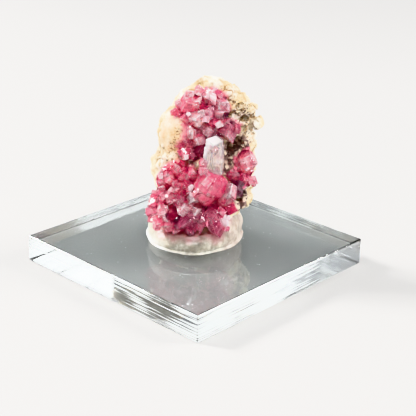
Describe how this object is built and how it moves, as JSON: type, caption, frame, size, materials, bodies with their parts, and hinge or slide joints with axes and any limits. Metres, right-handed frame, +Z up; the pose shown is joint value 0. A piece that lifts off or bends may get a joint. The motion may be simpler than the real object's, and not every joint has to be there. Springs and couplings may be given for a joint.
{
  "type": "cobaltoan calcite specimen on display base",
  "caption": "Pink glassy calcite crystals on an upright cream rock, set in white mineral putty on a clear square acrylic base.",
  "frame": {"origin": "centre of the underside of the acrylic base", "axes": "+Z up; X and Y along the sides of the base; the crystals face the corner between +X and -Y"},
  "size_m": [0.0382, 0.0382, 0.031],
  "materials": {
    "clear_acrylic": "clear polished sheet with finely sawn edges",
    "mineral_putty": "soft milky white, slightly see-through",
    "cream_rock": "weathered cream carbonate with brown and black hollows",
    "pink_calcite": "glassy magenta crystals, partly see-through",
    "clear_calcite": "glassy pale lilac crystal, see-through"
  },
  "bodies": {
    "root": {"acrylic_base": "clear_acrylic", "mounting_putty": "mineral_putty", "matrix_rock": "cream_rock", "upper_pink_crystals": "pink_calcite", "lower_pink_crystals": "pink_calcite", "right_pink_crystals": "pink_calcite", "clear_crystal": "clear_calcite"}
  },
  "joints": []
}
